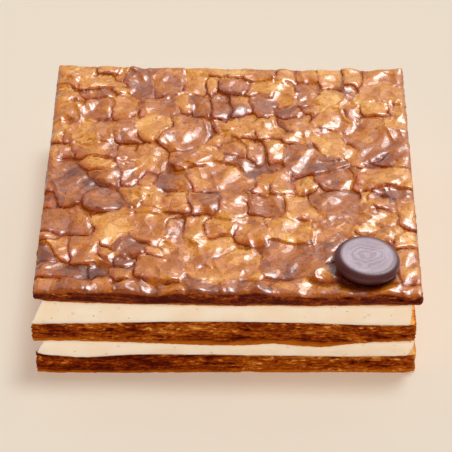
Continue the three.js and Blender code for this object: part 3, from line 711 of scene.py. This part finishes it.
def disc_foot(x, y):
    foot = DISC.middle - DISC.thickness / 2
    lean, nod = math.tan(math.radians(DISC.lean)), math.tan(math.radians(DISC.nod))
    return foot - (x - DISC.x) * lean + (y - DISC.y) * nod


def from_disc(points, shift=0.0):
    """mm from the disc's edge as seen from above. A shift is to the front left."""
    return np.hypot(points[..., 0] - DISC.x + shift, points[..., 1] - DISC.y + shift) - DISC.radius


def seated(points):
    seat = np.minimum(points[..., 2], disc_foot(points[..., 0], points[..., 1]) - SEAT_GAP)
    points[..., 2] = lerp(seat, points[..., 2], step(0.5, 4.0, from_disc(points)))
    return points


print("height of the disc's foot: %.2f mm" % disc_foot(DISC.x, DISC.y))

# %% [markdown]
# ## The top sheet
# Its top is a square grid lifted by the flake function. The grid's border is the uppermost ring
# of the cut side, so both are one closed skin.

# %% Build the top sheet
TOP_ROWS = 16
EDGE_BAND, EDGE_DROP, EDGE_CALM = 2.6, 1.1, 0.7  # mm in and down; wrinkles calm there
DISC_SHADE = 1.3  # DISC_SHADE = 1.3 # mm by which the painted shadow round the disc is shifted to the front left
TOP_TOAST = 0.34  # how dark the leaves of the top sheet's cut side are


def top_grid():
    """Points of the glazed top as a square grid, and what is painted on them."""
    lines = HALF * (2 * np.arange(CELLS + 1) / CELLS - 1)
    x, y = np.meshgrid(lines, lines)
    from_corner = 2 * HALF - np.abs(x) - np.abs(y)
    worn = 1 - CORNER_WEAR * np.exp(-from_corner / CORNER_REACH) / HALF
    height, bake, inside, front_shade, pooled = flake_field(x, y)
    edge = 1 - np.clip((HALF - np.maximum(np.abs(x), np.abs(y))) / EDGE_BAND, 0, 1)
    height = height + wrinkles(x, y) * (1 - EDGE_CALM * edge) - EDGE_DROP * edge * edge
    slope = np.hypot(*np.gradient(height, lines[1] - lines[0]))
    points = seated(on_sheet("top", x * worn, y * worn, GLAZE_BASE + height))
    bared = step(0.7, 1.0, edge) * step(6.0, 1.0, y + HALF)  # at the front, where the knife went
    # Painted on the mesh: shade on the flakes' front sides, dark caramel and shade on the steep
    # rims, and the disc's shadow round it.
    return points, {
        "bake": bake, "inside": inside, "front_shade": front_shade, "pooled": pooled, "on_top": 1 - bared,
        "disc_shadow": step(2.4, -0.8, from_disc(points, DISC_SHADE)), "steep_caramel_and_shade": step(0.25, 0.9, slope),
    }


top, painted = top_grid()
k = np.arange(CELLS)
index = np.arange((CELLS + 1) ** 2).reshape(CELLS + 1, CELLS + 1)
rim = np.concatenate([index[0, k], index[k, -1], index[-1, CELLS - k], index[CELLS - k, 0]])
flat_top = top.reshape(-1, 3)
lower = edge_heights("top_foot", 100, 1)
rings, hollows = cut_side("top", lower, flat_top[rim, 2], [0.35, 0.7], 101, TOP_ROWS, 130)
rings = [meeting_ring("top_foot", 1), *rings[:-1]]

points = np.concatenate([flat_top, *rings, meeting_hub("top_foot", 1)])
grid_count = len(flat_top)
corners = [index[:-1, :-1], index[:-1, 1:], index[1:, 1:], index[1:, :-1]]
faces = [np.stack([corner.ravel() for corner in corners], axis=1)]
faces += [band(grid_count + i * STATIONS, STATIONS) for i in range(len(rings) - 1)]
last, after = ring_steps(grid_count + (len(rings) - 1) * STATIONS, STATIONS)
faces.append(np.stack([last, after, np.roll(rim, -1), rim], axis=1))
faces.append(fan(len(points) - 1, grid_count, STATIONS, False))
top_sheet = new_piece("glazed_top_sheet", points, faces)

for name, values in painted.items():
    paint(top_sheet, name, values, np.zeros(len(points) - grid_count))
shares = np.repeat([0.0, *np.arange(TOP_ROWS) / TOP_ROWS], STATIONS)
paint(top_sheet, "hollow", np.zeros(grid_count + STATIONS), *hollows[:-1], 0.0)
paint(top_sheet, "share", np.ones(grid_count), shares, 0.0)
paint(top_sheet, "toast", np.full(len(points), TOP_TOAST))
print("top sheet:", len(top_sheet.data.polygons), "faces")

# %% [markdown]
# ## The two lower sheets
# The same cut sides, closed by flat faces that the cream covers almost to the edge.

# %% Build the bottom and middle sheets
RIGHT_TOAST, FLAT_TOAST = -0.2, -0.35  # pale leaves, at the right and on a sheet's flat top


def build_sheet(sheet, top_name, low_ring, low_hub, lower, ledges, layer, rows, leaf_layer, toast):
    """A cut sheet over a ring at its foot. toast says how dark its leaves are at each x."""
    upper = edge_heights(top_name, layer + 6, -1)
    sides, hollows = cut_side(sheet, lower, upper, ledges, layer, rows, leaf_layer)
    rings = [low_ring, *sides, meeting_ring(top_name, -1)]
    piece = closed_skin(sheet + "_sheet", low_hub, rings, meeting_hub(top_name, -1))
    shares = np.repeat([0.0, *np.arange(rows + 1) / rows, 1.0], STATIONS)
    paint(piece, "hollow", np.zeros(STATIONS), *hollows, np.zeros(STATIONS + 2))
    paint(piece, "share", shares, 0.0, 1.0)
    x = np.concatenate([*(ring[:, 0] for ring in rings), [0.0, 0.0]])
    toasted = lerp(toast(x), RIGHT_TOAST, step(78, 80.5, x))
    toasted[-STATIONS - 2:] = FLAT_TOAST
    paint(piece, "toast", toasted)
    return piece


notch = 0.9 * step(0.1, 0.4, noise(COARSE / 2.5, 5, 71))  # chips along the foot
bottom_foot = on_sheet("bottom", *square_ring(0.0, (3, 3, 3, 3), DRAWN_IN["bottom"]), 0.0)
bottom_sheet = build_sheet(
    "bottom", "bottom_top", bottom_foot, np.array([[*SHEETS["bottom"][:2], 0.0]]), notch,
    ledges=[0.28, 0.5, 0.76], layer=81, rows=30, leaf_layer=140,
    toast=lambda x: 0.3 * step(30, -50, x) - 0.07 * step(0, 50, x),
)
middle_sheet = build_sheet(
    "middle", "middle_top", meeting_ring("middle_foot", 1), meeting_hub("middle_foot", 1),
    edge_heights("middle_foot", 90, 1),
    ledges=[0.2, 0.42, 0.62, 0.84], layer=91, rows=34, leaf_layer=150,
    toast=lambda x: 0.02 + 0.08 * step(-60, -10, x),
)
print("lower sheets:", len(bottom_sheet.data.polygons), len(middle_sheet.data.polygons), "faces")

# %% [markdown]
# ## The cream
# Pastry cream is set but soft. It was piped or spread, pressed by the sheet above and cut with a
# warm knife, so its face is smooth with a few shallow waves, and it swells a little at the ends.

# %% Build the two cream layers
# How far up each bulge is, and how far it stands out at the front, right, back and left.
LOWER_BULGES = [
    (0.2, (0.2, 0.7, 0.6, 0.2)), (0.55, (0.4, 1.3, 0.8, 0.3)), (0.86, (0.3, 0.6, 0.5, 0.2)),
]
UPPER_BULGES = [
    (0.16, (0.2, 0.3, 0.5, 0.1)), (0.55, (0.4, 0.7, 0.9, 0.4)), (0.88, (0.3, 0.4, 0.5, 0.4)),
]
CREAM_ROWS = 22
BLEND = STATIONS // 60  # points over which one side's bulge passes into the next one's


def round_corners(out):
    """One number per side as one per point of a ring, blended round the corners."""
    sides = np.array(out)[np.arange(STATIONS) * 4 // STATIONS]
    padded = np.concatenate([sides[-BLEND:], sides, sides[:BLEND]])
    return np.convolve(padded, np.ones(2 * BLEND + 1) / (2 * BLEND + 1), "valid")


def build_cream(name, below, above, bulges):
    lower, upper = meeting_ring(below, 1), meeting_ring(above, -1)
    centre = meeting_hub(below, 1)[0]
    knots = [0.0, *(share for share, _ in bulges), 1.0]
    swells = [0.3 + 0.3 * noise(ALONG / 2.4, 0.5, 74)]
    for share, out in bulges:
        swells.append(round_corners(out) + 0.5 * noise(COARSE / 3.1, share * 4, 72))
    swells.append(0.2 + 0.3 * noise(ALONG / 2.4, 0.5, 75))
    rings = []
    for row in range(CREAM_ROWS + 1):
        share = row / CREAM_ROWS
        k, within = between_knots(knots, share)
        within = np.sin(within * np.pi / 2) if k == 0 else ease(within)
        points = lerp(lower, upper, share)
        outwards = points - centre
        outwards[:, 2] = 0
        size = np.abs(outwards).max(axis=1, keepdims=True)
        smear = 0.10 * noise(ALONG / 14, points[:, 2] / 3.5, 73) * (0 < row < CREAM_ROWS)
        out = lerp(swells[k], swells[k + 1], within) + smear
        rings.append(points + outwards / size * out[:, None])
    piece = closed_skin(name, meeting_hub(below, 1), rings, meeting_hub(above, -1))
    shares = np.repeat(np.arange(CREAM_ROWS + 1) / CREAM_ROWS, STATIONS)
    paint(piece, "share", shares, 0.0, 1.0)
    return piece


lower_cream = build_cream("lower_cream_layer", "bottom_top", "middle_foot", LOWER_BULGES)
upper_cream = build_cream("upper_cream_layer", "middle_top", "top_foot", UPPER_BULGES)
print("cream layers:", [len(piece.data.polygons) for piece in (lower_cream, upper_cream)], "faces")

# %% [markdown]
# ## The chocolate disc
# A disc of tempered chocolate set in a mould: flat on top with a soft shoulder, slightly barrelled
# at the side. It is a profile turned round its axis. Its finish needs coordinates of its own, so
# the disc keeps a local frame and is placed by its object.

# %% Build the disc
DISC_SIDES, ROUND_ROWS = 144, 14
FOOT_ROUND, SHOULDER_ROUND = (2.6, 3.0), (2.5, 2.6)  # mm inwards and upwards
SINK = 0.05  # mm by which the top falls towards its edge

half, radius = DISC.thickness / 2, DISC.radius
foot, shoulder = [], []
for a in np.linspace(0, np.pi / 2, ROUND_ROWS):
    low, high = 1 - math.sin(a), 1 - math.cos(a)
    foot.append((radius - FOOT_ROUND[0] * low, FOOT_ROUND[1] * high - half))
    shoulder.append((radius - SHOULDER_ROUND[0] * high, half - SHOULDER_ROUND[1] * low))
flat = [
    (radius - SHOULDER_ROUND[0] - inward, half - SINK * ease(1 - inward / 3))
    for inward in (1.0, 2.0, 3.0)
]
angle = 2 * np.pi * np.arange(DISC_SIDES) / DISC_SIDES
wobble = 1 + 0.004 * np.sin(2 * angle + 1) + 0.002 * np.sin(5 * angle)
rings = []
for r, z in foot + shoulder + flat:
    x, y = r * wobble * np.cos(angle), r * wobble * np.sin(angle)
    rings.append(np.stack([x, y, np.full(DISC_SIDES, z)], axis=1))
hubs = np.array([[[0, 0, -half]], [[0, 0, half]]])
disc = closed_skin("disc_of_chocolate", hubs[0], rings, hubs[1])
disc.location = (DISC.x * MM, DISC.y * MM, DISC.middle * MM)
disc.rotation_euler = (math.radians(DISC.nod), math.radians(DISC.lean), 0)
print("disc: %.1f mm across, %.1f mm thick" % (2 * DISC.radius, DISC.thickness))

# %% [markdown]
# ## The glazed crust's finish
# The crust is baked from straw gold to mahogany, flake by flake, and lies under a hard clear
# caramel. The colour comes from the bake painted on the mesh, moved up and down by soft mottling,
# by torn patches where an upper leaf has peeled and by scorched ones. Painted shade darkens the
# creases, the flakes' front sides and the glaze round the disc, dark caramel and painted shade the
# steep rims, and the bake holds some painted sheen and shade. The caramel is the shader's coat: a
# second, smoother reflection over the toasted surface, which ends at the creases.

# %% Glazed crust
CRUST_STOPS = [
    (0.00, 212, 150, 70), (0.25, 193, 121, 32), (0.45, 175, 96, 4),
    (0.65, 153, 76, 4), (0.85, 125, 56, 8), (1.00, 94, 38, 10),
]
SIDE_STOPS = [
    (0.00, 70, 10, 0), (0.25, 108, 32, 0), (0.50, 142, 59, 2), (0.75, 174, 90, 16),
    (1.00, 220, 152, 70),
]


def leaf_colour(look):
    """Broken lines along a cut side: dark toasted leaves, and golden ones soaked in butter."""
    leaves = look.clouds(look.place((0.16, 0.16, 0.95)), 1.0, 4.0, 0.6, 0.5)
    fine = look.clouds(look.place((0.6, 0.6, 1.4)), 1.0, 3.0, 0.65)
    blotch = look.clouds(look.place((0.05, 0.05, 0.14)), 1.0, 2.0)
    up, toast = look.painted("share"), look.painted("toast")
    crumb = look.clouds(look.place((0.28, 0.28, 0.6)), 1.0, 3.0, 0.6).step(0.56, 0.66)
    tone = leaves.swing(1.6) + fine.swing(1.4) + blotch.swing(1.4) + 0.5
    # Painted shade darkens the hollows where leaves have broken back.
    tone = tone + crumb * up.step(0.35, 0.75) * 0.4 - look.painted("hollow") * 0.45 - toast
    colour = look.ramp(tone, SIDE_STOPS)
    colour = look.mix(toast.step(-0.1, -0.3), colour, (196, 150, 86))
    buttery = (1 - (up + blotch.swing(0.5) + fine.swing(0.2)).step(0.02, 0.2)) * 0.75
    return look.mix(buttery, colour, (190, 100, 10)), tone


look = Look(
    "caramel_glazed_crust", IOR=1.45, Specular_IOR_Level=0.16,
    Coat_Roughness=0.095, Coat_IOR=1.6,
)
where = look.place()
mottle = look.clouds(where, 0.11, 3.0, 0.5, 0.4)
toast = look.clouds(where, 0.6, 3.0, 0.6)
peel = look.clouds(where, 0.085, 3.0, 0.45, 0.7).step(0.55, 0.562)
scorch = look.clouds(look.place(turn=(0, 0, 0.7)), 0.08, 3.0, 0.5, 0.6).step(0.555, 0.575)
pits = look.cells(where, 0.55).step(0.22, 0.08)
bubbles = look.cells(look.place(turn=(0.3, 0.5, 1.1)), 1.25).step(0.3, 0.12)
inside, pool = look.painted("inside"), look.painted("pooled")
# Within 1.4 mm of a crease: painted shade darkens the colour there, and the coat is thinned.
crease = 1 - inside.step(0.0, 1.4)
tone = look.painted("bake") + mottle.swing(0.36) + toast.swing(0.14)
tone = tone - peel * 0.18 + scorch * 0.13 + pits * 0.2 + pool * 0.1
colour = look.ramp(tone, CRUST_STOPS)
# Painted amber shade on the flakes' front sides.
colour = look.mix(look.painted("front_shade") * 0.75, colour, (214, 122, 14), "MULTIPLY")
# Dark caramel and painted shade on the steep rims.
colour = look.mix(look.painted("steep_caramel_and_shade") * 0.5, colour, (146, 64, 6))
# Painted shade in the creases, stronger in patches.
colour = look.mix(crease * (mottle.step(0.45, 0.6) * 0.45 + 0.08), colour, (126, 54, 6))
# Painted shadow of the disc on the glaze round it, most to the front left.
colour = look.mix(look.painted("disc_shadow") * 0.9, colour, (120, 50, 20), "MULTIPLY")
side, side_tone = leaf_colour(look)
on_top = look.painted("on_top")
lip = inside.step(0.1, 0.5) * (1 - inside.step(0.5, 1.3))
shape = look.clouds(where, 0.8, 3.0, 0.6) * 0.5 - pits * 0.9 - bubbles * 0.65 - peel * 0.6 + lip
crust = look.show(
    Base_Color=look.mix(on_top, side, colour),
    Roughness=0.6 - on_top * 0.3 + toast.swing(0.12),
    Coat_Weight=on_top * (1 - crease * 0.95),
    Normal=look.raised(side_tone * (1 - on_top) + shape * on_top, 0.5),
)
print("crust finish:", len(crust.node_tree.nodes), "nodes")

# %% [markdown]
# ## The cut leaves' finish
# The knife shows the leaves as streaks from near black through russet to gold. Butter gives them
# a slight shine.

# %% Cut leaves
look = Look("cut_pastry_leaves", IOR=1.45, Specular_IOR_Level=0.05)
colour, tone = leaf_colour(look)
crumbs = look.clouds(look.place((1.2, 1.2, 2.2)), 1.0, 3.0, 0.6)
leaves = look.show(
    Base_Color=colour, Roughness=0.55 + crumbs.swing(0.3),
    Normal=look.raised(tone * 0.6 + crumbs * 0.4, 0.3),
)
print("cut leaves:", len(leaves.node_tree.nodes), "nodes")

# %% [markdown]
# ## The cream's finish
# Pastry cream lets light in and scatters it, which softens its shadows. It is ivory, with specks of
# vanilla seed and a few burst bubbles.

# %% Pastry cream
look = Look(
    "vanilla_pastry_cream", IOR=1.4,
    Subsurface_Weight=0.35, Subsurface_Radius=(1.0, 0.75, 0.45), Subsurface_Scale=0.004,
)
where = look.place()
tint = look.clouds(where, 0.09, 3.0, 0.5)
specks = look.cells(where, 0.21).step(0.075, 0.045)
bubbles = look.cells(look.place(turn=(0.4, 0.2, 0.9)), 0.16).step(0.17, 0.06)
colour = look.ramp(tint, [(0.3, 247, 222, 194), (0.7, 252, 233, 211)])
colour = look.mix(bubbles * 0.35, colour, (226, 190, 140))
# Painted shade under the sheet above: the cream turns warmer and darker towards its top.
stain = (look.painted("share") + tint.swing(0.3)).step(0.84, 1.0)
colour = look.mix(stain * 0.6, colour, (222, 176, 124))
colour = look.mix(specks * 0.75, colour, (86, 66, 44))
shape = look.clouds(where, 0.35, 2.0) * 0.7 - bubbles * 0.9
roughness = 0.36 + tint.swing(0.2)
cream = look.show(Base_Color=colour, Roughness=roughness, Normal=look.raised(shape, 0.25))
print("cream:", len(cream.node_tree.nodes), "nodes")

# %% [markdown]
# ## The chocolate's finish
# The disc came out of a polished mould. Its flat top is painted pale mauve, a painted reflection
# of the room's light, with faint swirls round the middle, while the side stays deep brown.

# %% Dark chocolate
look = Look("tempered_dark_chocolate", IOR=1.46, Coat_Weight=0.15, Coat_Roughness=0.3)
where = look.place()
sway = look.clouds(where, 0.11, 3.0, 0.55)
x, y, z = look.apart(where)
radius = (x * x + y * y) ** 0.5
ripple = (sway * 34.0 + radius * 2.1).math("SINE") * 0.5 + 0.5
broad = look.clouds(where, 0.09, 2.0).step(0.35, 0.65)
# Painted reflection: the flat top, where the room's light is painted in as a pale mauve sheen.
painted_top_sheen = z.step(1.9, 2.8) * (1 - radius.step(9.8, 12.0))
swirled = 1 - radius.step(5.5, 10.5)
# Colours of the painted reflection on the top, darker along the swirls.
top = look.mix(broad * 0.5, (152, 132, 141), (124, 100, 108))
top = look.mix(ripple * swirled * 0.55, top, (104, 78, 86))
colour = look.mix(painted_top_sheen, (72, 30, 30), top)
roughness = 0.42 - painted_top_sheen * 0.06 + look.clouds(where, 1.2, 2.0).swing(0.1)
shape = look.raised(ripple * painted_top_sheen, 0.03)
chocolate = look.show(Base_Color=colour, Roughness=roughness, Normal=shape)
print("chocolate:", len(chocolate.node_tree.nodes), "nodes")

# %% [markdown]
# ## Give each layer its finish and its place in the frame
# Each fine layer stands for one solid of the model and moves with its body.

# %% Dress the layers
DRESS = [
    (bottom_sheet, "bottom_pastry", "pastry", leaves),
    (lower_cream, "lower_cream", "cream", cream),
    (middle_sheet, "middle_pastry", "pastry", leaves),
    (upper_cream, "upper_cream", "cream", cream),
    (top_sheet, "top_pastry", "glazed_pastry", crust),
    (disc, "chocolate_disc", "chocolate", chocolate),
]
for piece, node, slot, finish in DRESS:
    piece.data.materials.append(finish)
    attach(piece, "root")
    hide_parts(node)
print("dressed:", ", ".join(piece.name for piece, *_ in DRESS))

# %% [markdown]
# ## Table, light and camera
# The cake stands on a pale warm surface. One broad light above and a little behind it on the right
# gives soft short shadows and long highlights in the glaze; the room fills in the rest.

# %% Pale floor
FLOOR_REACH = 6.0  # metres from the middle
FLOOR_GLOW = 0.5  # the table is lit from below by a warm light, which keeps the shadows pale

mesh = bpy.data.meshes.new("floor")
corners = np.array([(-1, -1, 0), (1, -1, 0), (1, 1, 0), (-1, 1, 0)]) * FLOOR_REACH
mesh.from_pydata(corners.tolist(), [], [(0, 1, 2, 3)])
look = Look("pale_floor", Roughness=1.0, Specular_IOR_Level=0.0, Emission_Strength=FLOOR_GLOW)
tone = look.mix(look.clouds(look.place(), 0.02, 2.0), (236, 221, 202), (237, 222, 203))
mesh.materials.append(look.show(Base_Color=tone, Emission_Color=(*srgb(228, 206, 183), 1)))
floor = add_object("floor", mesh)
print("floor:", floor.dimensions[0], "m across")

# %% Soft studio light
BLUISH, WARM, COOL = (0.93, 0.97, 1.0), (1.0, 0.98, 0.95), (0.75, 0.9, 1.0)
# Where each light comes from, its strength, its degrees across and its colour. The softbox is
# brighter towards its middle, so it is three lights one inside the other.
CAKE_LIGHTS = [
    ("softbox_edge", (0.44, 0.48, 0.76), 0.9, 72, BLUISH),
    ("softbox", (0.45, 0.46, 0.76), 1.8, 42, BLUISH),
    ("softbox_middle", (0.42, 0.45, 0.79), 1.0, 22, BLUISH),
    ("white_card_in_front", (-0.1, -0.92, 0.36), 2.0, 80, WARM),
    ("ceiling", (0, 0, 1), 0.68, 80, WARM),
]
NO_HIGHLIGHT = ("white_card_in_front", "ceiling")


def add_sun(name, towards, strength, angle, colour, receivers):
    data = bpy.data.lights.new(name, "SUN")
    data.energy, data.angle, data.color = strength, math.radians(angle), colour
    light = add_object(name, data)
    light.rotation_euler = Vector(towards).to_track_quat("Z", "Y").to_euler()
    light.light_linking.receiver_collection = receivers
    light.visible_glossy = name not in NO_HIGHLIGHT


cake_group = bpy.data.collections.new("lit_as_cake")
floor_group = bpy.data.collections.new("lit_as_floor")
for piece, *_ in DRESS:
    cake_group.objects.link(piece)
floor_group.objects.link(floor)
for light in CAKE_LIGHTS:
    add_sun(*light, cake_group)
add_sun("softbox_over_table", (0.2, 0.22, 0.95), 1.215, 16, COOL, floor_group)

# Light from the room itself: dim overhead and in front, brighter from a pale wall behind.
world = bpy.data.worlds.new("room")
world.use_nodes = True
room = Nodes(world.node_tree)
_, back, up = room.apart(room.node("ShaderNodeTexCoord"))
wall = back.step(0.1, 0.6) * (1 - up.step(0.7, 0.92))
background = world.node_tree.nodes["Background"]
background.inputs["Color"].default_value = (1.0, 0.965, 0.93, 1.0)
room.feed(background.inputs["Strength"], wall * 0.5 + 0.12)
bpy.context.scene.world = world
bpy.context.scene.view_settings.view_transform = "Standard"

# %% Camera, looking down at the front
CAMERA_PLACE = (-0.3, -746.9, 634.8)
CAMERA_DOWN, CAMERA_ROLL = 39.716, 0.404  # degrees

data = bpy.data.cameras.new("camera")
data.lens, data.sensor_width, data.clip_end = 173.03, 36.0, 50.0
camera = add_object("camera", data)
tilt = Matrix.Rotation(math.radians(90 - CAMERA_DOWN), 4, "X")
roll = Matrix.Rotation(math.radians(CAMERA_ROLL), 4, "Z")
camera.matrix_world = Matrix.Translation(Vector(CAMERA_PLACE) * MM) @ tilt @ roll
bpy.context.scene.camera = camera
print("camera at", [round(v, 3) for v in camera.location])
